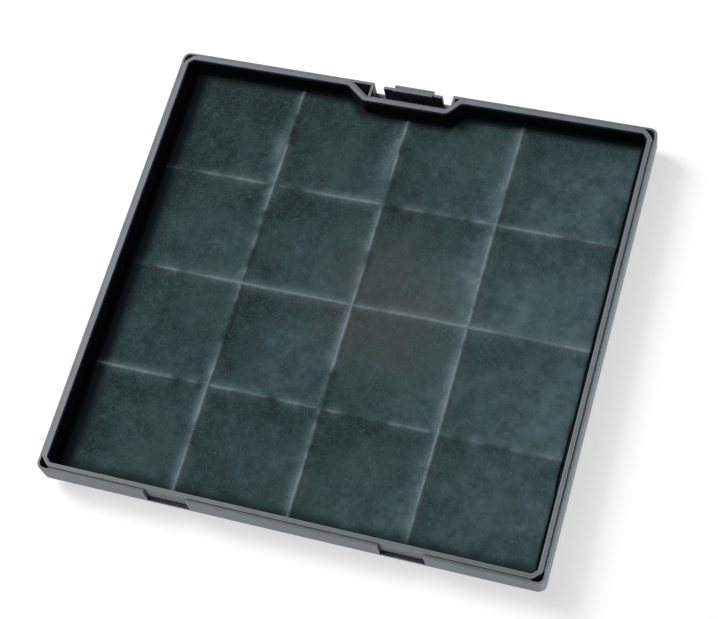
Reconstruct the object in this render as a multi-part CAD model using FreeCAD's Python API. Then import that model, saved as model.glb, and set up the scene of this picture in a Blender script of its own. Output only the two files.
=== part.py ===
import FreeCAD, Part
import math
import os

# Carbon filter cassette for a cooker hood.
# A shallow tray frame is moulded in one piece with a snap tongue on its far side.
# Its floor is a lattice of open cells filled with carbon granules.
# One fleece covers the cells inside the tray and a second one closes them underneath.
# X runs across the tray, +Y points to the snap tongue and +Z points up out of the tray.

# Sizes of the whole frame, in millimetres
frame_width = 250.0
frame_depth = 239.0
overall_height = 20.0
skirt_height = 12.4
corner_radius = 4.0

# Rim, which is a raised lip with a lower ledge outside it
lip_width = 2.2
ledge_width = 2.1
ledge_drop = 1.0
skirt_wall = 1.2
tray_wall = 1.6
rim_cap = 1.5
edge_radius = 0.4
rim_web = 1.2

# Corners of the tray and the pockets outside them
corner_chamfer = 2.4
chamfer_radius = 1.0
corner_pocket_leg = 5.8

# Flange that forms the edge of the tray floor
flange_thickness = 1.4

# Lattice of cells under the tray
columns = 4
rows = 4
column_pitch = 58.0
row_pitch = 56.5
rib_width = 1.6
rib_rise = 0.9
cell_wall = 1.6
cell_corner_radius = 2.0
body_inset = 3.2
body_corner_radius = 4.0

# Fleeces
gutter = 2.3
front_fleece_thickness = 0.7
front_fleece_edge = 0.3
ridge_height = 1.2
ridge_half_width = 5.0
ridge_top_half_width = 1.1
ridge_shoulder_share = 0.8
ridge_sink = 0.06
rib_cover_clearance = 0.15
rear_fleece_thickness = 0.9
rear_fleece_inset = 0.3
rear_fleece_clearance = 0.2

# Carbon charges
bed_clearance = 0.15

# Recess in the tray wall behind the snap tongue
jog_depth = 7.3
jog_left = 23.6
jog_left_run = 10.0
jog_right = 20.3
jog_right_run = 6.0
jog_outer_radius = 3.0
jog_inner_radius = 4.0
jog_wall = 3.2
jog_shelf_overlap = 2.0
latch_wall = 1.6

# Snap tongue
tongue_width = 30.8
tongue_thickness = 1.4
tongue_inset = 1.0
tongue_top_drop = 1.4
slot_width = 5.5
root_height = 0.3
root_clearance = 0.06
root_end_clearance = 0.3
grip_width = 20.7
grip_overhang = 1.0
grip_rib_width = 1.6
grip_rise = 1.2
nose_reach = 1.7
nose_face = 0.8
nose_drop = 2.4
nose_ramp = 4.2
nose_shoulder = 0.8
grip_underside = 1.8
grip_edge_radius = 0.3

# Notches on the side away from the tongue
notch_spacing = 116.0
notch_width = 22.0

# Levels and half sizes that follow from the sizes above
half_x = frame_width / 2
half_y = frame_depth / 2
rim_width = lip_width + ledge_width
inner_x = half_x - rim_width
inner_y = half_y - rim_width
skirt_bottom = overall_height - skirt_height
flange_top = skirt_bottom + flange_thickness
ledge_top = overall_height - ledge_drop
body_x = inner_x - body_inset
body_y = inner_y - body_inset
cell_floor = rear_fleece_inset + rear_fleece_thickness
fleece_top = flange_top + front_fleece_thickness
tongue_y = half_y - tongue_inset - tongue_thickness / 2
root_radius = tongue_thickness / 2
root_z = flange_top + root_height
tongue_top = overall_height - tongue_top_drop
opening_half = tongue_width / 2 + slot_width
beyond = 1.0


def vector(x, y, z):
    return FreeCAD.Vector(x, y, z)


def box(x_low, x_high, y_low, y_high, z_low, z_high):
    corner = vector(x_low, y_low, z_low)
    return Part.makeBox(x_high - x_low, y_high - y_low, z_high - z_low, corner)


def direction(start, end):
    length = math.hypot(end[0] - start[0], end[1] - start[1])
    return (end[0] - start[0]) / length, (end[1] - start[1]) / length


def shifted(corners, shift):
    """Move every side of a counter-clockwise outline outward; corner radii follow."""
    moved = []
    for i, (x, y, radius) in enumerate(corners):
        ax, ay = direction(corners[i - 1], corners[i])
        bx, by = direction(corners[i], corners[(i + 1) % len(corners)])
        spread = shift / (1 + ax * bx + ay * by)
        outward_corner = ax * by - ay * bx > 0
        new_radius = radius + shift if outward_corner else radius - shift
        moved.append((x + spread * (ay + by), y - spread * (ax + bx), max(new_radius, 0)))
    return moved


def outline(corners, z):
    """Closed wire through corners given as x, y and radius."""
    edges = []
    ends = []
    for i, (x, y, radius) in enumerate(corners):
        ax, ay = direction(corners[i - 1], corners[i])
        bx, by = direction(corners[i], corners[(i + 1) % len(corners)])
        if radius == 0:
            ends.append((vector(x, y, z), vector(x, y, z)))
            continue
        half_turn = math.acos(ax * bx + ay * by) / 2
        setback = radius * math.tan(half_turn)
        start = vector(x - ax * setback, y - ay * setback, z)
        end = vector(x + bx * setback, y + by * setback, z)
        towards = vector(bx - ax, by - ay, 0).normalize()
        middle = vector(x, y, z) + towards * (radius / math.cos(half_turn) - radius)
        edges.append(Part.Arc(start, middle, end).toShape())
        ends.append((start, end))
    for i, (start, end) in enumerate(ends):
        if (start - ends[i - 1][1]).Length > 1e-6:
            edges.append(Part.makeLine(ends[i - 1][1], start))
    return Part.Wire(Part.__sortEdges__(edges))


def prism(corners, z_low, z_high):
    return Part.Face(outline(corners, z_low)).extrude(vector(0, 0, z_high - z_low))


def rectangle(half_width, half_length, radius):
    return [
        (-half_width, -half_length, radius),
        (half_width, -half_length, radius),
        (half_width, half_length, radius),
        (-half_width, half_length, radius),
    ]


def tray_outline(shift):
    """Inside edge of the rim, with its cut corners and its step in behind the tongue."""
    chamfer = corner_chamfer
    corners = [
        (-inner_x + chamfer, -inner_y, chamfer_radius),
        (inner_x - chamfer, -inner_y, chamfer_radius),
        (inner_x, -inner_y + chamfer, chamfer_radius),
        (inner_x, inner_y - chamfer, chamfer_radius),
        (inner_x - chamfer, inner_y, chamfer_radius),
        (jog_right + jog_right_run, inner_y, jog_outer_radius),
        (jog_right, inner_y - jog_depth, jog_inner_radius),
        (-jog_left, inner_y - jog_depth, jog_inner_radius),
        (-jog_left - jog_left_run, inner_y, jog_outer_radius),
        (-inner_x + chamfer, inner_y, chamfer_radius),
        (-inner_x, inner_y - chamfer, chamfer_radius),
        (-inner_x, -inner_y + chamfer, chamfer_radius),
    ]
    return shifted(corners, shift)


def round_level_edges(shape, z, radius):
    """Round the edges that lie at one height."""
    chosen = []
    for edge in shape.Edges:
        bounds = edge.BoundBox
        if abs(bounds.ZMin - z) < 1e-4 and abs(bounds.ZMax - z) < 1e-4:
            chosen.append(edge)
    return shape.makeFillet(radius, chosen)


def free_spans(low, high, stops):
    """Stretches between low and high that keep clear of stops given as centre and half width."""
    spans = []
    start = low
    for centre, half_width in sorted(stops, key=lambda stop: stop[0] - stop[1]):
        if centre - half_width > start:
            spans.append((start, centre - half_width))
        start = max(start, centre + half_width)
    if high > start:
        spans.append((start, high))
    return spans


def rib_lines(count, pitch):
    """Centre lines of the ribs between the cells."""
    return [pitch * (i - count / 2) for i in range(1, count)]


def notch_lines():
    """Middle of each notch along the near side."""
    return [-notch_spacing / 2, notch_spacing / 2]


def rim():
    """Lip and ledge over a skirt, closed below by the flange."""
    recess = prism(tray_outline(0), flange_top, overall_height + beyond)
    block = prism(rectangle(half_x, half_y, corner_radius), skirt_bottom, ledge_top)
    block = round_level_edges(block, ledge_top, edge_radius).cut(recess)
    lip = prism(tray_outline(lip_width), flange_top, overall_height).cut(recess)
    lip = round_level_edges(lip, overall_height, edge_radius)
    return block.fuse(lip)


def rim_channels():
    """Hollows under the rim, open downward, with webs left between them."""
    top = ledge_top - rim_cap
    outer_x = half_x - skirt_wall
    outer_y = half_y - skirt_wall
    wide = rim_width - skirt_wall - tray_wall
    corner_clear = skirt_wall + corner_pocket_leg + rim_web
    web = rim_web / 2
    row_stops = [(y, web) for y in rib_lines(rows, row_pitch)]
    column_stops = [(x, web) for x in rib_lines(columns, column_pitch)]
    notch_stops = [(x, notch_width / 2 + rim_web) for x in notch_lines()]
    jog_low = -jog_left - jog_left_run - jog_outer_radius - rim_web
    jog_high = jog_right + jog_right_run + jog_outer_radius + rim_web
    jog_stop = ((jog_low + jog_high) / 2, (jog_high - jog_low) / 2)
    hollows = []
    for low, high in free_spans(corner_clear - half_y, half_y - corner_clear, row_stops):
        hollows.append(box(outer_x - wide, outer_x, low, high, skirt_bottom, top))
        hollows.append(box(-outer_x, wide - outer_x, low, high, skirt_bottom, top))
    far_stops = column_stops + [jog_stop]
    for low, high in free_spans(corner_clear - half_x, half_x - corner_clear, far_stops):
        hollows.append(box(low, high, outer_y - wide, outer_y, skirt_bottom, top))
    near_stops = column_stops + notch_stops
    for low, high in free_spans(corner_clear - half_x, half_x - corner_clear, near_stops):
        hollows.append(box(low, high, -outer_y, wide - outer_y, skirt_bottom, top))
    return hollows


def corner_pockets():
    """Three-sided pockets between the cut corners of the lip and the skirt, open upward."""
    far_x = half_x - skirt_wall
    far_y = half_y - skirt_wall
    leg = corner_pocket_leg
    corners = [
        (far_x - leg, far_y, 0),
        (far_x, far_y - leg, 0),
        (far_x, far_y, corner_radius - skirt_wall),
    ]
    pocket = prism(corners, flange_top, overall_height + beyond)
    across = pocket.mirror(vector(0, 0, 0), vector(1, 0, 0))
    near = pocket.mirror(vector(0, 0, 0), vector(0, 1, 0))
    opposite = across.mirror(vector(0, 0, 0), vector(0, 1, 0))
    return [pocket, across, near, opposite]


def latch_pocket():
    """Space around the tongue, with a web beside each slot and a small pocket outside each web."""
    top = overall_height + beyond
    left = -jog_left - jog_left_run - jog_outer_radius
    right = jog_right + jog_right_run + jog_outer_radius
    space = box(left, right, inner_y - jog_depth, half_y - latch_wall, flange_top, top)
    space = space.cut(prism(tray_outline(jog_wall), skirt_bottom, top + beyond))
    for side in (-1, 1):
        web_x = side * (opening_half + rim_web / 2)
        web = box(web_x - rim_web / 2, web_x + rim_web / 2, 0, half_y, skirt_bottom, top + beyond)
        space = space.cut(web)
    inside_wall = half_y - latch_wall - beyond
    opening = box(-opening_half, opening_half, inside_wall, half_y + beyond, flange_top, top)
    root_length = tongue_width + 2 * root_end_clearance
    seat_start = vector(-root_length / 2, tongue_y, root_z)
    seat = Part.makeCylinder(root_radius + root_clearance, root_length, seat_start, vector(1, 0, 0))
    return [space, opening, seat]


def side_notches():
    """Two notches through the ledge and the skirt, down to the flange."""
    notches = []
    outside = -half_y - beyond
    for x in notch_lines():
        low = x - notch_width / 2
        high = x + notch_width / 2
        notches.append(box(low, high, outside, ledge_width - half_y, flange_top, overall_height))
    return notches


def jog_shelf(clearance):
    """Part of the flange that carries the fleece in front of the step in the tray wall."""
    low_x = -jog_left - jog_left_run - clearance
    high_x = jog_right + jog_right_run + clearance
    low_y = inner_y - jog_depth - gutter - jog_shelf_overlap - clearance
    return box(low_x, high_x, low_y, inner_y, skirt_bottom - clearance, flange_top)


def cell_bounds(column, row, clearance):
    """Low and high x, then low and high y, of the room between the ribs or walls of one cell."""
    lines_x = [cell_wall - body_x] + rib_lines(columns, column_pitch) + [body_x - cell_wall]
    lines_y = [cell_wall - body_y] + rib_lines(rows, row_pitch) + [body_y - cell_wall]
    half_rib = rib_width / 2
    low_x = lines_x[column] + (half_rib if column > 0 else 0) + clearance
    high_x = lines_x[column + 1] - (half_rib if column < columns - 1 else 0) - clearance
    low_y = lines_y[row] + (half_rib if row > 0 else 0) + clearance
    high_y = lines_y[row + 1] - (half_rib if row < rows - 1 else 0) - clearance
    return low_x, high_x, low_y, high_y


def cell_space(column, row):
    """Open cell with rounded corners, which stops at the shelf."""
    low_x, high_x, low_y, high_y = cell_bounds(column, row, 0)
    corners = [(low_x, low_y), (high_x, low_y), (high_x, high_y), (low_x, high_y)]
    rounded = [(x, y, cell_corner_radius) for x, y in corners]
    return prism(rounded, cell_floor, flange_top).cut(jog_shelf(0))


def carbon_bed(column, row):
    """Charge of granules in one cell; its corners are cut where those of the cell are round."""
    low_x, high_x, low_y, high_y = cell_bounds(column, row, bed_clearance)
    cut = cell_corner_radius
    corners = [
        (low_x + cut, low_y, 0),
        (high_x - cut, low_y, 0),
        (high_x, low_y + cut, 0),
        (high_x, high_y - cut, 0),
        (high_x - cut, high_y, 0),
        (low_x + cut, high_y, 0),
        (low_x, high_y - cut, 0),
        (low_x, low_y + cut, 0),
    ]
    return prism(corners, cell_floor, flange_top).cut(jog_shelf(bed_clearance))


def rib_bars(reach_x, reach_y, extra_width, z_low, z_high):
    """Bars along every rib line, from one side of the tray to the other."""
    half = rib_width / 2 + extra_width
    bars = []
    for x in rib_lines(columns, column_pitch):
        bars.append(box(x - half, x + half, -reach_y, reach_y, z_low, z_high))
    for y in rib_lines(rows, row_pitch):
        bars.append(box(-reach_x, reach_x, y - half, y + half, z_low, z_high))
    return bars[0].multiFuse(bars[1:])


def frame():
    body = prism(rectangle(body_x, body_y, body_corner_radius), 0, flange_top)
    shape = rim().fuse(body)
    inside_radius = body_corner_radius - cell_wall
    inside = rectangle(body_x - cell_wall, body_y - cell_wall, inside_radius)
    rear_recess = prism(inside, 0, cell_floor)
    cells = [cell_space(column, row) for column in range(columns) for row in range(rows)]
    shape = shape.cut([rear_recess] + cells)
    shape = shape.cut(rim_channels() + corner_pockets() + latch_pocket() + side_notches())
    within_tray = prism(tray_outline(0), flange_top, flange_top + rib_rise)
    raised = rib_bars(inner_x, inner_y, 0, flange_top, flange_top + rib_rise).common(within_tray)
    return shape.fuse(raised).removeSplitter()


def ridge(length, along_x):
    """Soft fold of the fleece over one rib, curving up from a foot just inside the sheet."""
    rise = ridge_height * ridge_shoulder_share + ridge_sink
    run = ridge_half_width - ridge_top_half_width
    sweep = (run * run + rise * rise) / (2 * rise)
    foot = vector(0, -ridge_half_width, -ridge_sink)
    knee_rise = sweep - math.sqrt(sweep ** 2 - (run / 2) ** 2)
    knee = vector(0, run / 2 - ridge_half_width, knee_rise - ridge_sink)
    shoulder = vector(0, -ridge_top_half_width, rise - ridge_sink)
    crown = vector(0, 0, ridge_height)
    mirrored = [vector(0, -point.y, point.z) for point in (shoulder, knee, foot)]
    edges = [
        Part.Arc(foot, knee, shoulder).toShape(),
        Part.Arc(shoulder, crown, mirrored[0]).toShape(),
        Part.Arc(mirrored[0], mirrored[1], mirrored[2]).toShape(),
        Part.makeLine(mirrored[2], foot),
    ]
    solid = Part.Face(Part.Wire(edges)).extrude(vector(length, 0, 0))
    solid.translate(vector(-length / 2, 0, fleece_top))
    if not along_x:
        solid.rotate(vector(0, 0, 0), vector(0, 0, 1), 90)
    return solid


def front_fleece():
    """Fleece on the lattice, raised in soft ridges where the ribs lie under it."""
    sheet = prism(tray_outline(-gutter), flange_top, fleece_top)
    sheet = round_level_edges(sheet, fleece_top, front_fleece_edge)
    ridges = []
    for x in rib_lines(columns, column_pitch):
        solid = ridge(2 * inner_y, False)
        solid.translate(vector(x, 0, 0))
        ridges.append(solid)
    for y in rib_lines(rows, row_pitch):
        solid = ridge(2 * inner_x, True)
        solid.translate(vector(0, y, 0))
        ridges.append(solid)
    limit = prism(tray_outline(-gutter - front_fleece_edge), flange_top, fleece_top + ridge_height + beyond)
    folds = ridges[0].multiFuse(ridges[1:]).common(limit)
    grooves = rib_bars(inner_x, inner_y, rib_cover_clearance, flange_top, flange_top + rib_rise)
    return sheet.fuse(folds).cut(grooves).removeSplitter()


def rear_fleece():
    """Flat fleece in the recess under the cells, bonded to the lower edges of the ribs."""
    half_width = body_x - cell_wall - rear_fleece_clearance
    half_length = body_y - cell_wall - rear_fleece_clearance
    radius = body_corner_radius - cell_wall
    return prism(rectangle(half_width, half_length, radius), rear_fleece_inset, cell_floor)


def latch_tongue():
    """Springy tongue with a finger grip on top and a catch nose on its outer face."""
    inner_face = tongue_y - tongue_thickness / 2
    outer_face = tongue_y + tongue_thickness / 2
    half = tongue_width / 2
    plate = box(-half, half, inner_face, outer_face, root_z, tongue_top)
    root_start = vector(-half, tongue_y, root_z)
    root = Part.makeCylinder(root_radius, tongue_width, root_start, vector(1, 0, 0))
    grip_top = tongue_top + grip_rise
    tip_y = half_y + nose_reach
    tip_top = tongue_top - nose_drop + nose_face
    rib_edge = inner_face - grip_overhang + grip_rib_width
    profile = [
        (inner_face, tongue_top - nose_drop - grip_underside),
        (inner_face - grip_overhang, tongue_top - nose_drop),
        (inner_face - grip_overhang, grip_top),
        (rib_edge, grip_top),
        (rib_edge, tongue_top),
        (outer_face, tip_top + nose_shoulder),
        (tip_y, tip_top),
        (tip_y, tip_top - nose_face),
        (outer_face, tip_top - nose_face - nose_ramp),
    ]
    points = [vector(-grip_width / 2, y, z) for y, z in profile]
    grip = Part.Face(Part.makePolygon(points + points[:1])).extrude(vector(grip_width, 0, 0))
    grip = round_level_edges(grip, grip_top, grip_edge_radius)
    return plate.fuse([root, grip]).removeSplitter()


def write(name, shape):
    """Move a piece so that the origin is under the middle of the whole filter, and write it."""
    placed = shape.copy()
    placed.translate(vector(0, -nose_reach / 2, 0))
    placed.exportStep("parts/" + name + ".step")
    print(name, len(placed.Solids), placed.isValid(), round(placed.Volume))


os.makedirs("parts", exist_ok=True)
write("frame", frame())
write("latch_tongue", latch_tongue())
write("front_fleece", front_fleece())
write("rear_fleece", rear_fleece())
for row in range(rows):
    for column in range(columns):
        write(f"carbon_bed_{row + 1}_{column + 1}", carbon_bed(column, row))
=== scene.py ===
import math
import random

import bmesh
import bpy
from mathutils import Matrix, Vector, noise


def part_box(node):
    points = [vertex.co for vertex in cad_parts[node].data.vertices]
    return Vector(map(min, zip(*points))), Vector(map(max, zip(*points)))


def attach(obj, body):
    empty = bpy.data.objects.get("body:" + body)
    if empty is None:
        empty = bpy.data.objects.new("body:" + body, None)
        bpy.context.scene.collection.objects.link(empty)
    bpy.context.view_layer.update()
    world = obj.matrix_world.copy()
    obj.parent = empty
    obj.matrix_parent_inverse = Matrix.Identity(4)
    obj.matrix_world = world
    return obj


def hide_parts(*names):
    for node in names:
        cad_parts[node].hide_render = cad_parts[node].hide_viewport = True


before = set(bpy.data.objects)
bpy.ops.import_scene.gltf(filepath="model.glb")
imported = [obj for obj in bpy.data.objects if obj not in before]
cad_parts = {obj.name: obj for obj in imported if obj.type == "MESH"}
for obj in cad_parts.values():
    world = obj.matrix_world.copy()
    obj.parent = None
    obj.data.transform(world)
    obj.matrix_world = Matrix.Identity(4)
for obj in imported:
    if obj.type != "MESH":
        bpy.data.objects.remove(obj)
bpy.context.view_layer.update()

# Tray frame.
# Black polypropylene, injection moulded in one piece with the ribs and the walls of the cells.
# Its faces carry the fine grain of a spark-eroded mould, so they shine softly and broadly.
MM = 0.001


def linear(code):
    """Linear colour from an sRGB hex code."""
    values = [int(code[i:i + 2], 16) / 255 for i in (1, 3, 5)]
    return [v / 12.92 if v <= 0.04045 else ((v + 0.055) / 1.055) ** 2.4 for v in values] + [1.0]


def add_node(tree, kind, inputs=None, **settings):
    """Add a shader node; inputs gives each socket a value or another node's output."""
    made = tree.nodes.new("ShaderNode" + kind)
    for name, value in settings.items():
        setattr(made, name, value)
    for socket, value in (inputs or {}).items():
        if isinstance(value, bpy.types.NodeSocket):
            tree.links.new(value, made.inputs[socket])
        else:
            made.inputs[socket].default_value = value
    return made


def new_material(name):
    """An empty material and its node tree."""
    made = bpy.data.materials.new(name)
    made.use_nodes = True
    made.node_tree.nodes.clear()
    return made, made.node_tree


def inside_shade_share(tree, place):
    """Share of painted shade, a dull near-black laid low down on the walls and the floor inside the tray."""
    inside = Vector((120.7, 115.2, 7.9)) * MM
    middle_y = -0.85 * MM
    past_wall = 0.1 * MM
    blend = 0.05 * MM
    unshaded_above = 19.3 * MM
    shaded_below = 17.5 * MM
    split = add_node(tree, "SeparateXYZ", {"Vector": place})
    across = add_node(tree, "Math", {0: split.outputs["X"]}, operation="ABSOLUTE")
    from_middle = add_node(tree, "Math", {0: split.outputs["Y"], 1: middle_y}, operation="SUBTRACT")
    along = add_node(tree, "Math", {0: from_middle.outputs[0]}, operation="ABSOLUTE")
    room_x = add_node(tree, "Math", {0: inside.x + past_wall, 1: across.outputs[0]}, operation="SUBTRACT")
    room_y = add_node(tree, "Math", {0: inside.y + past_wall, 1: along.outputs[0]}, operation="SUBTRACT")
    room_z = add_node(tree, "Math", {0: split.outputs["Z"], 1: inside.z}, operation="SUBTRACT")
    room = add_node(tree, "Math", {0: room_x.outputs[0], 1: room_y.outputs[0]}, operation="MINIMUM")
    room = add_node(tree, "Math", {0: room.outputs[0], 1: room_z.outputs[0]}, operation="MINIMUM")
    within = add_node(tree, "MapRange", {"Value": room.outputs[0], "From Min": -blend, "From Max": blend})
    low = add_node(tree, "MapRange", {
        "Value": split.outputs["Z"], "From Min": unshaded_above, "From Max": shaded_below,
        "To Min": 0.0, "To Max": 0.97})
    shade_share = add_node(tree, "Math", {
        0: within.outputs["Result"], 1: low.outputs["Result"]}, operation="MULTIPLY")
    return shade_share.outputs[0]


def moulded_polypropylene():
    """Black polypropylene with a fine eroded grain: grey in the light, with painted shade in dull black
    inside.

    Its outer edges carry a painted highlight and its inner corners painted shade. The near rim is
    painted darker as painted shade, and the right rim paler as painted light.
    """
    grain_size = 0.45 * MM
    grain_depth = 0.02 * MM
    flow_size = 30 * MM
    haze_size = 7 * MM
    corner_reach = 2.0 * MM
    highlight_reach = 0.6 * MM
    worn_edge = 0.18 * MM
    near_rim = (-114 * MM, -118 * MM)
    right_rim = (122 * MM, 124 * MM)
    made, tree = new_material("moulded_polypropylene")
    place = add_node(tree, "TexCoord").outputs["Object"]
    flow = add_node(tree, "TexNoise", {"Vector": place, "Scale": 1 / flow_size, "Detail": 3.0})
    grain = add_node(tree, "TexNoise", {"Vector": place, "Scale": 1 / grain_size, "Detail": 2.0})
    haze = add_node(tree, "TexNoise", {
        "Vector": place, "Scale": 1 / haze_size, "Detail": 5.0, "Roughness": 0.6})
    even = add_node(tree, "MixRGB", {
        "Fac": flow.outputs["Fac"], "Color1": linear("#595f62"), "Color2": linear("#676e72")})
    rubbed = add_node(tree, "MapRange", {
        "Value": haze.outputs["Fac"], "From Min": 0.45, "From Max": 0.75, "To Min": 0.0, "To Max": 0.35})
    colour = add_node(tree, "MixRGB", {
        "Fac": rubbed.outputs["Result"], "Color1": even.outputs["Color"], "Color2": linear("#7d8386")})
    side = add_node(tree, "SeparateXYZ", {"Vector": place})
    # Painted shade: the near rim is darker, as the lip shades it.
    near_rim_shade = add_node(tree, "MapRange", {
        "Value": side.outputs["Y"], "From Min": near_rim[0], "From Max": near_rim[1],
        "To Min": 0.0, "To Max": 0.4})
    near_shaded = add_node(tree, "MixRGB", {
        "Fac": near_rim_shade.outputs["Result"], "Color1": colour.outputs["Color"], "Color2": linear("#333c3f")})
    # Painted light: the right rim is paler, as if more brightly lit.
    right_rim_light = add_node(tree, "MapRange", {
        "Value": side.outputs["X"], "From Min": right_rim[0], "From Max": right_rim[1],
        "To Min": 0.0, "To Max": 0.3})
    right_lit = add_node(tree, "MixRGB", {
        "Fac": right_rim_light.outputs["Result"], "Color1": near_shaded.outputs["Color"], "Color2": linear("#8b9396")})
    gloss = add_node(tree, "MapRange", {
        "Value": flow.outputs["Fac"], "From Min": 0.3, "From Max": 0.7, "To Min": 0.5, "To Max": 0.58})
    openness = add_node(tree, "AmbientOcclusion", {"Distance": corner_reach}, samples=8, only_local=True)
    # Painted shade: concave corners, where ambient occlusion finds little room, darken towards near-black.
    corner_shade = add_node(tree, "MapRange", {
        "Value": openness.outputs["AO"], "From Min": 0.62, "From Max": 0.93, "To Min": 0.92, "To Max": 0.0})
    # Painted highlight: at edges, where the rounded normal turns away from the flat one, the colour is paler.
    rounded = add_node(tree, "Bevel", {"Radius": highlight_reach}, samples=4)
    flat = add_node(tree, "NewGeometry")
    facing = add_node(tree, "VectorMath", {
        0: rounded.outputs["Normal"], 1: flat.outputs["Normal"]}, operation="DOT_PRODUCT")
    edge_highlight = add_node(tree, "MapRange", {
        "Value": facing.outputs["Value"], "From Min": 1.0, "From Max": 0.85, "To Min": 0.0, "To Max": 0.75})
    highlighted = add_node(tree, "MixRGB", {
        "Fac": edge_highlight.outputs["Result"], "Color1": right_lit.outputs["Color"], "Color2": linear("#9aa3a6")})
    corner_shaded = add_node(tree, "MixRGB", {
        "Fac": corner_shade.outputs["Result"], "Color1": highlighted.outputs["Color"], "Color2": linear("#1a1f20")})
    edge = add_node(tree, "Bevel", {"Radius": worn_edge}, samples=4)
    bump = add_node(tree, "Bump", {
        "Height": grain.outputs["Fac"], "Distance": grain_depth, "Strength": 0.5,
        "Normal": edge.outputs["Normal"]})
    plain = add_node(tree, "BsdfPrincipled", {
        "Base Color": corner_shaded.outputs["Color"], "Roughness": gloss.outputs["Result"],
        "IOR": 1.5, "Specular IOR Level": 0.38, "Normal": bump.outputs["Normal"]})
    # Painted shade: a dull near-black that stands in for the shade low down inside the tray.
    shade_bsdf = add_node(tree, "BsdfPrincipled", {
        "Base Color": linear("#121818"), "Roughness": 1.0, "Specular IOR Level": 0.03,
        "Normal": bump.outputs["Normal"]})
    surface = add_node(tree, "MixShader", {
        0: inside_shade_share(tree, place), 1: plain.outputs["BSDF"], 2: shade_bsdf.outputs["BSDF"]})
    add_node(tree, "OutputMaterial", {"Surface": surface.outputs[0]})
    return made


def give(obj, material):
    """Make this the only material of an object."""
    obj.data.materials.clear()
    obj.data.materials.append(material)


polypropylene = moulded_polypropylene()
give(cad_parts["frame"], polypropylene)

# Snap tongue.
# The same polypropylene: a thin springy leaf with a ribbed finger grip and a catch nose.
# On the real filter it is moulded with the frame and bends at its root.
give(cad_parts["latch_tongue"], polypropylene)

# Carbon charges.
# Loose granules of activated carbon, poured into the sixteen cells before the fleeces close them.
# They are matt black, with pores too fine to see.


def activated_carbon():
    """Black granules, with painted shade in the gaps between them."""
    granule = 2.5 * MM
    made, tree = new_material("activated_carbon")
    place = add_node(tree, "TexCoord").outputs["Object"]
    grains = add_node(tree, "TexVoronoi", {"Vector": place, "Scale": 1 / granule})
    # Painted shade: darker towards the edges of each granule.
    colour = add_node(tree, "MixRGB", {
        "Fac": grains.outputs["Distance"], "Color1": linear("#26282a"), "Color2": linear("#0b0b0c")})
    bump = add_node(tree, "Bump", {
        "Height": grains.outputs["Distance"], "Distance": granule / 2, "Strength": 0.8}, invert=True)
    shader = add_node(tree, "BsdfPrincipled", {
        "Base Color": colour.outputs["Color"], "Roughness": 0.85, "Normal": bump.outputs["Normal"]})
    add_node(tree, "OutputMaterial", {"Surface": shader.outputs["BSDF"]})
    return made


carbon = activated_carbon()
for name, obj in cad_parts.items():
    if name.startswith("carbon_bed"):
        give(obj, carbon)

# Front fleece.
# Non-woven polyester fleece, bonded to the ribs, so it rises over each rib and sinks in each cell.
# Its fibres lie every way. Its edges are cut with a die and stand a little off the walls.
FLEECE_LOW, FLEECE_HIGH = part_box("front_fleece")
RIB_PITCH_X = 58.0 * MM
RIB_PITCH_Y = 56.5 * MM
RIBS_X = [RIB_PITCH_X * i for i in (-1, 0, 1)]
RIBS_Y = [(FLEECE_LOW.y + FLEECE_HIGH.y) / 2 + RIB_PITCH_Y * i for i in (-1, 0, 1)]
FLEECE_REST = FLEECE_LOW.z + 0.6 * MM
RIDGE_TOP = FLEECE_HIGH.z - 0.04 * MM
FLEECE_THICKNESS = 0.45 * MM
FOLDS = (
    (0, 78 * MM, 14 * MM),
    (1, 84 * MM, 22 * MM),
    (2, 84 * MM, 18 * MM),
    (2, 20 * MM, 24 * MM),
    (2, -72 * MM, 14 * MM),
)
# Soft round patches where the felt is darker, each given by centre across, centre along, reach and strength.
DARKER_PATCHES = (
    (-90 * MM, 100 * MM, 34 * MM, 0.26),
    (-30 * MM, 98 * MM, 36 * MM, 0.14),
    (-72 * MM, -82 * MM, 20 * MM, 0.18),
    (-12 * MM, -94 * MM, 28 * MM, 0.2),
    (72 * MM, -100 * MM, 36 * MM, 0.16),
)
PALE_PATCHES = (
    (-76 * MM, 4 * MM, 20 * MM, 0.16),
    (42 * MM, 18 * MM, 24 * MM, 0.14),
    (102 * MM, 0, 30 * MM, 0.22),
)
STEP_FRONT = 104.75 * MM
STEP_LEFT = (-34.4 * MM, -24.4 * MM)
STEP_RIGHT = (21.4 * MM, 27.4 * MM)


def ripple(x, y, size, seed):
    """Smooth noise from about -1 to 1, with bumps of the given size."""
    return noise.noise(Vector((x / size, y / size, seed)))


def smooth(value):
    """Ease from 0 to 1, flat at both ends."""
    value = min(max(value, 0), 1)
    return value * value * (3 - 2 * value)


def far_edge(x):
    """Where the fleece ends on the far side; it steps in behind the tongue, as the wall does."""
    step_in = smooth((x - STEP_LEFT[0]) / (STEP_LEFT[1] - STEP_LEFT[0]))
    step_out = smooth((x - STEP_RIGHT[0]) / (STEP_RIGHT[1] - STEP_RIGHT[0]))
    return FLEECE_HIGH.y - (FLEECE_HIGH.y - STEP_FRONT) * (step_in - step_out)


def fold_at(rib, along):
    """Broad soft folds where the felt runs up slowly to a rib, on the ribs that run near to far."""
    return max(math.exp(-((along - middle) / reach) ** 2) for line, middle, reach in FOLDS if line == rib)


def ridge_shape(beyond, along, seed, fold):
    """Lift by a rib from 0 to 1: it rises slowly before the rib and falls quickly beyond it."""
    before = (2.4 + 0.8 * ripple(along, seed, 52 * MM, 8.7) + 5 * fold) * MM
    after = (2.0 + 0.4 * ripple(along, seed, 31 * MM, 4.1)) * MM
    reach = max(0, abs(beyond) - 0.4 * MM) / (before if beyond < 0 else after)
    return math.exp(-1.1 * reach ** 1.5)


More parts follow.
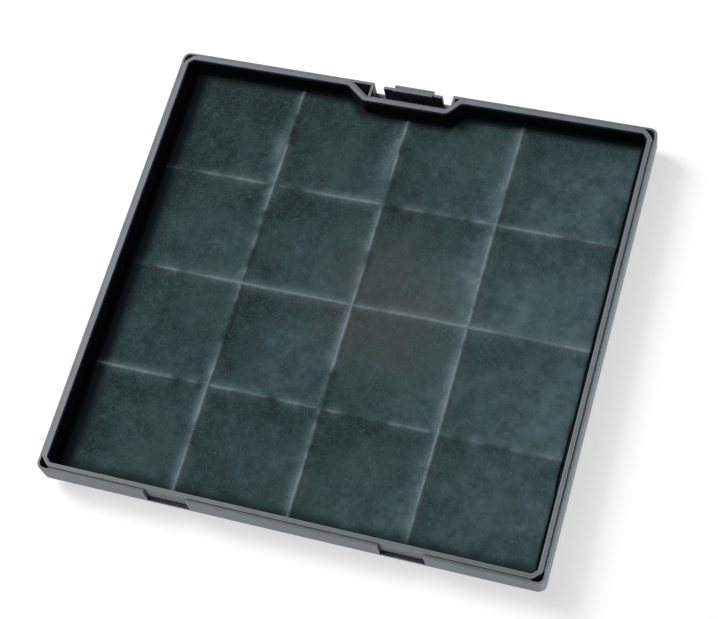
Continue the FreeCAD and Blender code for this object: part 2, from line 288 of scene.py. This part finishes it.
def crest_shape(beyond, along, seed):
    """Share of the thin pale line on top of a rib, from wear and painted highlight, which fades in and out
    along it.
    """
    width = (0.95 + 0.25 * ripple(along, seed, 17 * MM, 2.2)) * MM
    crest_fade = smooth(0.64 + 1.1 * ripple(along, seed, 27 * MM, 6.6) + 0.6 * ripple(along, seed, 6 * MM, 1.6))
    halo = 0.38 * math.exp(-(beyond / (3.2 * width)) ** 2)
    return crest_fade * max(math.exp(-(beyond / width) ** 2), halo)


def lift_at(x, y):
    """How far the ribs lift the fleece at a point, and how pale it is there from wear and painted highlight,
    both from 0 to 1.
    """
    lift = 0
    pale_crest = 0
    for i, rib in enumerate(RIBS_X):
        beyond = x - rib - 0.45 * MM * ripple(y, i * 1.9, 38 * MM, 5.5)
        height = 0.9 + 0.2 * ripple(y, i * 0.7, 30 * MM, 1.3)
        fold = fold_at(i, y)
        lift = max(lift, height * ridge_shape(beyond, y, i * 3.3, fold))
        pale_crest = max(pale_crest, crest_shape(beyond, y, i * 3.3))
        # Painted light: paler streaks on the slope before a rib, which faces the light.
        if beyond < 0:
            streaks = 0.7 + 0.9 * ripple(x, y, 7 * MM, 40.5)
            pale_crest = max(pale_crest, 0.5 * fold * streaks * math.exp(-(beyond / (5.5 * MM)) ** 2))
    for i, rib in enumerate(RIBS_Y):
        beyond = rib - y - 0.45 * MM * ripple(x, i * 1.3, 38 * MM, 6.5)
        height = 0.7 + 0.25 * ripple(x, i * 0.9, 30 * MM, 2.3)
        share = height * ridge_shape(beyond, x, 20 + i * 3.3, 0)
        lift = max(lift, share) + 0.2 * min(lift, share)
        pale_crest = max(pale_crest, 0.85 * crest_shape(beyond, x, 20 + i * 3.3))
    return min(lift, 1), pale_crest


def rib_shade_at(x, y):
    """Share of painted shade: most just beyond a rib or wall, away from the light, least at the far end of
    the cell.
    """
    stops_x = [FLEECE_LOW.x] + RIBS_X
    stops_y = [FLEECE_HIGH.y] + RIBS_Y[::-1]
    past_x = min(x - stop for stop in stops_x if x >= stop - 1e-4)
    past_y = min(stop - y for stop in stops_y if y <= stop + 1e-4)
    reach = 26 * MM * (1 + 0.5 * ripple(x, y, 24 * MM, 31.0))
    beside = 1 - smooth(past_x / reach)
    below = 1 - smooth(past_y / reach)
    return min(1, 0.62 * beside + 0.62 * below)


def pressed_edge_and_shade_at(x, y):
    """Nearness of the cut edge, where the felt is pressed thin and painted shade darkens it, furthest in on
    the left: 1 at the edge, 0 well inside.
    """
    left = x - FLEECE_LOW.x - 4.6 * MM
    right = 1.6 * (FLEECE_HIGH.x - x)
    near = 0.75 * (y - FLEECE_LOW.y)
    far = 1.4 * (far_edge(x) - y)
    reach = 5.5 * MM * (1 + 0.5 * ripple(x, y, 12 * MM, 14.0))
    return 1 - smooth(min(left, right, near, far) / reach)


def patches_at(x, y, patches):
    """Sum of soft round patches, each given by its centre, reach and strength."""
    return sum(strength * math.exp(-math.hypot(x - across, y - along) ** 2 / reach ** 2)
               for across, along, reach, strength in patches)


def tone_at(x, y):
    """Lightness of the felt: paler to the right and near as painted light, with clouds, and painted shade by
    the ribs.
    """
    # Painted light: paler to the right and near.
    light_drift = 0.25 * x / (118 * MM) - 0.07 * y / (112 * MM)
    clouds = 0.2 * ripple(x, y, 44 * MM, 9.1) + 0.16 * ripple(x, y, 19 * MM, 2.9)
    clouds += 0.08 * ripple(x, y, 8 * MM, 5.9)
    uneven = patches_at(x, y, PALE_PATCHES) - patches_at(x, y, DARKER_PATCHES)
    return 0.5 + light_drift + clouds + uneven - 0.42 * rib_shade_at(x, y)


def fleece_height(x, y):
    """Height of the top of the fleece, which sags in each cell and puckers a little."""
    lift, _ = lift_at(x, y)
    across = (x - RIBS_X[0]) / RIB_PITCH_X
    upward = (y - RIBS_Y[0]) / RIB_PITCH_Y
    dish = abs(math.sin(math.pi * across) * math.sin(math.pi * upward))
    sag = dish * 0.12 * MM
    pucker = (0.07 * ripple(x, y, 9 * MM, 4.4) + 0.08 * ripple(x, y, 22 * MM, 7.7)) * MM
    tuft = 0.05 * ripple(x, y, 2.8 * MM, 12.2) * MM
    top = FLEECE_REST + lift * (RIDGE_TOP - FLEECE_REST) - sag + pucker + tuft
    top -= 0.3 * MM * pressed_edge_and_shade_at(x, y) ** 2
    return min(max(top, FLEECE_REST - 0.45 * MM), RIDGE_TOP)


def felt_grid(low, high, spacing):
    """Flat grid between two corners, with the felt's own attributes."""
    shape = bmesh.new()
    width = high.x - low.x
    length = high.y - low.y
    bmesh.ops.create_grid(
        shape, x_segments=round(width / spacing), y_segments=round(length / spacing), size=0.5)
    bmesh.ops.scale(shape, vec=(width, length, 1), verts=shape.verts)
    bmesh.ops.translate(shape, vec=((low.x + high.x) / 2, (low.y + high.y) / 2, 0), verts=shape.verts)
    layers = [shape.verts.layers.float.new(name) for name in ("pale_crest", "tone", "edge")]
    return shape, layers


def felt_piece(name, shape, thickness, offset):
    """Object with a thickness from a bent grid; an offset of -1 adds it below and 1 above."""
    mesh = bpy.data.meshes.new(name)
    shape.to_mesh(mesh)
    shape.free()
    obj = bpy.data.objects.new(name, mesh)
    bpy.context.scene.collection.objects.link(obj)
    for face in mesh.polygons:
        face.use_smooth = True
    thick = obj.modifiers.new("thickness", "SOLIDIFY")
    thick.thickness = thickness
    thick.offset = offset
    return obj


def front_fleece_sheet():
    """Grid drawn closer together at the ribs, then lifted over them and trimmed to a wavy edge."""
    gather = 0.55
    edge_reach = 9 * MM
    waviness = 0.7
    shape, (pale_crest, tone, edge) = felt_grid(FLEECE_LOW, FLEECE_HIGH, 1.15 * MM)
    for vert in shape.verts:
        x, y = vert.co.xy
        x -= gather * RIB_PITCH_X / math.tau * math.sin(math.tau * x / RIB_PITCH_X)
        y -= gather * RIB_PITCH_Y / math.tau * math.sin(math.tau * (y - RIBS_Y[1]) / RIB_PITCH_Y)
        x = min(max(x, FLEECE_LOW.x), FLEECE_HIGH.x)
        y = min(max(y, FLEECE_LOW.y), FLEECE_HIGH.y)
        y -= (FLEECE_HIGH.y - far_edge(x)) * smooth((y - FLEECE_HIGH.y + 36 * MM) / (36 * MM))
        vert[pale_crest] = lift_at(x, y)[1]
        vert[tone] = tone_at(x, y)
        # The edge attribute carries painted shade at the cut edges.
        vert[edge] = pressed_edge_and_shade_at(x, y) * (1 - 0.8 * vert[pale_crest])
        vert.co = (x, y, fleece_height(x, y))
        for axis, limit, inward, along, gap in (
                (0, FLEECE_LOW.x, 1, y, 0.4), (0, FLEECE_HIGH.x, -1, y, -1.5),
                (1, FLEECE_LOW.y, 1, x, -0.3), (1, FLEECE_HIGH.y, -1, x, 0.2)):
            near = max(0, 1 - abs(vert.co[axis] - limit) / edge_reach)
            wave = gap + waviness * ripple(along, limit, 16 * MM, 15.5)
            vert.co[axis] += inward * near * wave * MM
    bmesh.ops.recalc_face_normals(shape, faces=shape.faces)
    return felt_piece("front_fleece_sheet", shape, FLEECE_THICKNESS, -1)


def loose_fibres():
    """Single fibres lying on the felt, some with an end standing off it."""
    count = 1100
    steps = 6
    off_edge = 0.85
    chance = random.Random(11)
    curve = bpy.data.curves.new("loose_fibres", "CURVE")
    curve.dimensions = "3D"
    curve.bevel_depth = 0.03 * MM
    curve.bevel_resolution = 0
    for _ in range(count):
        x = chance.uniform(FLEECE_LOW.x + 2 * MM, FLEECE_HIGH.x - 2 * MM)
        y = chance.uniform(FLEECE_LOW.y + 2 * MM, FLEECE_HIGH.y - 2 * MM)
        heading = chance.uniform(0, math.tau)
        turn = chance.gauss(0, 0.16)
        stride = chance.uniform(0.5, 1.9) * MM
        loft = chance.uniform(0, 0.5) ** 3 * MM
        route = []
        for step in range(steps):
            standing = loft * (step / (steps - 1)) ** 2 * 4
            route.append((x, y, fleece_height(x, y) + 0.02 * MM + standing, 1))
            x += stride * math.cos(heading)
            y += stride * math.sin(heading)
            heading += turn
        if any(pressed_edge_and_shade_at(point[0], point[1]) > off_edge for point in route):
            continue
        spline = curve.splines.new("POLY")
        spline.points.add(len(route) - 1)
        for point, place in zip(spline.points, route):
            point.co = place
    maker = bpy.data.objects.new("loose_fibres_maker", curve)
    obj = bpy.data.objects.new("loose_fibres", bpy.data.meshes.new_from_object(maker))
    bpy.data.objects.remove(maker)
    bpy.context.scene.collection.objects.link(obj)
    return obj


def polyester_fibre():
    """Pale grey-blue fibre, a little glossier than the felt that it came out of."""
    made, tree = new_material("polyester_fibre")
    place = add_node(tree, "TexCoord").outputs["Object"]
    blend = add_node(tree, "TexNoise", {"Vector": place, "Scale": 1 / (6 * MM), "Detail": 1.0})
    colour = add_node(tree, "MixRGB", {
        "Fac": blend.outputs["Fac"], "Color1": linear("#2f4145"), "Color2": linear("#51656a")})
    shader = add_node(tree, "BsdfPrincipled", {
        "Base Color": colour.outputs["Color"], "Roughness": 0.6, "Specular IOR Level": 0.3})
    add_node(tree, "OutputMaterial", {"Surface": shader.outputs["BSDF"]})
    return made


def felt_strands(tree, place, angles, width, length):
    """Brightest of several noises, each drawn out along its own direction like laid fibres."""
    strands = None
    for i, angle in enumerate(angles):
        turned = add_node(tree, "Mapping", {
            "Vector": place, "Location": (0.1 * i, 0.07 * i, 0.0), "Rotation": (0, 0, math.radians(angle)),
            "Scale": (width, length, length)}, vector_type="TEXTURE")
        laid = add_node(tree, "TexNoise", {
            "Vector": turned.outputs["Vector"], "Scale": 1.0, "Detail": 2.0, "Distortion": 0.5})
        layer = laid.outputs["Fac"]
        if strands is not None:
            layer = add_node(tree, "Math", {0: strands, 1: layer}, operation="MAXIMUM").outputs[0]
        strands = layer
    return strands


def non_woven_fleece():
    """Matt grey-green felt: mottled, streaked with paler fibres, pale along the ribs from wear and painted
    highlight, with painted shade at the edges.
    """
    fibre_width = 0.5 * MM
    fibre_length = 5 * MM
    nap_depth = 0.22 * MM
    warm_middle = (18 * MM, 4 * MM, 0.0)
    warm_reach = (60 * MM, 60 * MM, 1.0)
    made, tree = new_material("non_woven_fleece")
    place = add_node(tree, "TexCoord").outputs["Object"]
    strands = felt_strands(tree, place, (12, 41, 78, 104, 139, 165), fibre_width, fibre_length)
    mottle = add_node(tree, "TexNoise", {
        "Vector": place, "Scale": 1 / (7 * MM), "Detail": 6.0, "Roughness": 0.65})
    # The tone attribute carries painted light to the right and near, and painted shade beside the ribs.
    tone = add_node(tree, "Attribute", attribute_name="tone")
    mottled = add_node(tree, "MapRange", {
        "Value": mottle.outputs["Fac"], "From Min": 0.25, "From Max": 0.75, "To Min": -0.3, "To Max": 0.3})
    lightness = add_node(tree, "Math", {
        0: tone.outputs["Fac"], 1: mottled.outputs["Result"]}, operation="ADD")
    shade = add_node(tree, "ValToRGB", {"Fac": lightness.outputs[0]})
    for stop, (position, code) in enumerate(((0.0, "#172626"), (0.5, "#2c4143"), (1.0, "#4a5f65"))):
        if stop == 1:
            shade.color_ramp.elements.new(position)
        shade.color_ramp.elements[stop].position = position
        shade.color_ramp.elements[stop].color = linear(code)
    centre = add_node(tree, "Mapping", {
        "Vector": place, "Location": warm_middle, "Scale": warm_reach}, vector_type="TEXTURE")
    patch = add_node(tree, "TexGradient", {"Vector": centre.outputs["Vector"]}, gradient_type="SPHERICAL")
    blotch = add_node(tree, "TexNoise", {"Vector": place, "Scale": 1 / (18 * MM), "Detail": 4.0})
    hue = add_node(tree, "TexNoise", {
        "Vector": place, "Scale": 1 / (30 * MM), "Detail": 3.0, "Roughness": 0.6})
    greener = add_node(tree, "MapRange", {
        "Value": hue.outputs["Fac"], "From Min": 0.48, "From Max": 0.66, "To Min": 0.0, "To Max": 0.5})
    dyed = add_node(tree, "MixRGB", {
        "Fac": greener.outputs["Result"], "Color1": shade.outputs["Color"], "Color2": linear("#2f4440")})
    rubbed = add_node(tree, "Math", {0: patch.outputs["Fac"], 1: blotch.outputs["Fac"]}, operation="MULTIPLY")
    warmth = add_node(tree, "MapRange", {
        "Value": rubbed.outputs[0], "From Min": 0.05, "From Max": 0.5, "To Min": 0.0, "To Max": 0.6})
    warm = add_node(tree, "MixRGB", {
        "Fac": warmth.outputs["Result"], "Color1": dyed.outputs["Color"], "Color2": linear("#4a4b4b")})
    light = add_node(tree, "MapRange", {
        "Value": strands, "From Min": 0.6, "From Max": 0.78, "To Min": 0.0, "To Max": 0.4})
    threads = add_node(tree, "MixRGB", {
        "Fac": light.outputs["Result"], "Color1": warm.outputs["Color"], "Color2": linear("#5c6f74")})
    # Pale crest along the ribs: partly wear, partly painted highlight.
    pale_crest = add_node(tree, "Attribute", attribute_name="pale_crest")
    fray = add_node(tree, "MapRange", {
        "Value": strands, "From Min": 0.5, "From Max": 0.75, "To Min": 0.62, "To Max": 1.15})
    crest_mix = add_node(tree, "Math", {
        0: pale_crest.outputs["Fac"], 1: fray.outputs["Result"]}, operation="MULTIPLY")
    crest_amount = add_node(tree, "MapRange", {"Value": crest_mix.outputs[0], "To Min": 0.0, "To Max": 0.86})
    crest = add_node(tree, "MixRGB", {
        "Fac": crest_amount.outputs["Result"], "Color1": threads.outputs["Color"], "Color2": linear("#7e9096")})
    edge = add_node(tree, "Attribute", attribute_name="edge")
    # Painted shade: the felt darkens to near-black at its cut edges, most widely on the left.
    pressed = add_node(tree, "MapRange", {"Value": edge.outputs["Fac"], "To Min": 0.0, "To Max": 0.94})
    colour = add_node(tree, "MixRGB", {
        "Fac": pressed.outputs["Result"], "Color1": crest.outputs["Color"], "Color2": linear("#0f1a1b")})
    relief = add_node(tree, "Math", {0: strands, 1: mottle.outputs["Fac"]}, operation="ADD")
    bump = add_node(tree, "Bump", {"Height": relief.outputs[0], "Distance": nap_depth, "Strength": 0.6})
    shader = add_node(tree, "BsdfPrincipled", {
        "Base Color": colour.outputs["Color"], "Roughness": 0.95, "Specular IOR Level": 0.15,
        "Sheen Weight": 0.08, "Sheen Roughness": 0.5, "Normal": bump.outputs["Normal"]})
    add_node(tree, "OutputMaterial", {"Surface": shader.outputs["BSDF"]})
    return made


fleece = front_fleece_sheet()
give(fleece, non_woven_fleece())
fibres = loose_fibres()
give(fibres, polyester_fibre())
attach(fibres, "tray")
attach(fleece, "tray")
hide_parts("front_fleece")

# Rear fleece.
# A thinner sheet of the same felt, welded flat into the recess under the cells.
# The filter stands on the wall round it, so it is hardly rubbed, but its welds show as pale lines.


def rear_fleece_sheet():
    """Flat grid pressed up to the ribs, with a slight belly under each cell."""
    low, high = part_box("rear_fleece")
    shape, (pale_crest, tone, edge) = felt_grid(low, high, 1.45 * MM)
    for vert in shape.verts:
        x, y = vert.co.xy
        to_rib = min([abs(x - rib) for rib in RIBS_X] + [abs(y - rib) for rib in RIBS_Y])
        belly = 1 - math.exp(-to_rib / (6 * MM))
        pressed = math.exp(-(to_rib / (1.3 * MM)) ** 2)
        vert.co.z = low.z + 0.5 * MM - belly * 0.3 * MM + 0.08 * MM * ripple(x, y, 8 * MM, 21.0)
        clouds = 0.2 * ripple(x, y, 40 * MM, 22.0) + 0.14 * ripple(x, y, 15 * MM, 23.0)
        vert[tone] = 0.4 + clouds - 0.2 * math.exp(-to_rib / (5 * MM))
        vert[pale_crest] = (0.34 + 0.3 * ripple(x, y, 12 * MM, 24.0)) * pressed
        inward = min(x - low.x, high.x - x, y - low.y, high.y - y)
        vert[edge] = 1 - smooth(inward / (3.5 * MM))
    return felt_piece("rear_fleece_sheet", shape, 0.4 * MM, 1)


rear = rear_fleece_sheet()
give(rear, fleece.data.materials[0])
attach(rear, "tray")
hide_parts("rear_fleece")

# Studio.
# A pale floor keeps a soft shadow. Two lamps stand at the upper left, and two thin strips on the
# floor light the near and right sides.


def seen_directly(tree):
    """1 for a ray from the camera, a reflection or a refraction, and 0 for other light."""
    path = add_node(tree, "LightPath")
    seen = add_node(tree, "Math", {
        0: path.outputs["Is Camera Ray"], 1: path.outputs["Is Glossy Ray"]}, operation="ADD")
    seen = add_node(tree, "Math", {
        0: seen.outputs[0], 1: path.outputs["Is Transmission Ray"]}, operation="ADD", use_clamp=True)
    return seen.outputs[0]


def pale_floor():
    """White card: it shows as white to the camera and in reflections, and keeps the shadow."""
    made, tree = new_material("pale_floor")
    strength = add_node(tree, "Math", {0: seen_directly(tree), 1: 0.65}, operation="MULTIPLY")
    glow = add_node(tree, "Emission", {"Color": (1, 1, 1, 1), "Strength": strength.outputs[0]})
    card = add_node(tree, "BsdfDiffuse", {"Color": (0.4, 0.4, 0.4, 1)})
    both = add_node(tree, "AddShader", {0: glow.outputs[0], 1: card.outputs[0]})
    add_node(tree, "OutputMaterial", {"Surface": both.outputs[0]})
    return made


shape = bmesh.new()
bmesh.ops.create_grid(shape, x_segments=1, y_segments=1, size=4)
mesh = bpy.data.meshes.new("floor")
shape.to_mesh(mesh)
shape.free()
floor = bpy.data.objects.new("floor", mesh)
bpy.context.scene.collection.objects.link(floor)
give(floor, pale_floor())

world = bpy.data.worlds.new("studio")
bpy.context.scene.world = world
world.use_nodes = True
world_tree = world.node_tree
world_tree.nodes.clear()
strength = add_node(world_tree, "MapRange", {
    "Value": seen_directly(world_tree), "To Min": 0.03, "To Max": 1.0})
sky = add_node(world_tree, "Background", {"Color": (1, 1, 1, 1), "Strength": strength.outputs["Result"]})
add_node(world_tree, "OutputWorld", {"Surface": sky.outputs[0]})


def softbox(name, towards, distance, width, height, power):
    """Oblong lamp in a direction from the filter, facing it; power is in watts."""
    data = bpy.data.lights.new(name, "AREA")
    data.shape = "RECTANGLE"
    data.size = width
    data.size_y = height
    data.energy = power
    lamp = bpy.data.objects.new(name, data)
    bpy.context.scene.collection.objects.link(lamp)
    towards = Vector(towards).normalized()
    lamp.location = towards * distance
    lamp.rotation_mode = "QUATERNION"
    lamp.rotation_quaternion = towards.to_track_quat("Z", "Y")


softbox("key_lamp", (-1.0, 0.38, 1.0), 3.0, 1.15, 1.15, 88.0)
softbox("high_lamp", (-0.5, 0.12, 1.0), 3.0, 1.6, 1.6, 31.0)
softbox("near_strip", (0.1, -1.0, 0.011), 1.2, 1.2, 0.016, 11.0)
softbox("right_strip", (1.0, -0.1, 0.011), 1.2, 1.2, 0.016, 9.0)

# Camera.
# It stands where the photograph was taken from, high up and to the right on the near side.
viewpoint = (206.5 * MM, -329.65 * MM, 778.6 * MM)
forward = Vector((-0.25002, 0.32647, -0.91154))
upward = Vector((-0.20181, 0.90319, 0.37884))
sideways = forward.cross(upward).normalized()
upward = sideways.cross(forward).normalized()
lens = bpy.data.cameras.new("camera")
lens.sensor_width = 36.0
lens.lens = 87.94
lens.shift_x = 0.0631
lens.shift_y = 0.1286
camera = bpy.data.objects.new("camera", lens)
bpy.context.scene.collection.objects.link(camera)
turn = Matrix((sideways, upward, -forward)).transposed().to_4x4()
camera.matrix_world = Matrix.Translation(viewpoint) @ turn
bpy.context.scene.camera = camera
bpy.context.scene.view_settings.view_transform = "Standard"
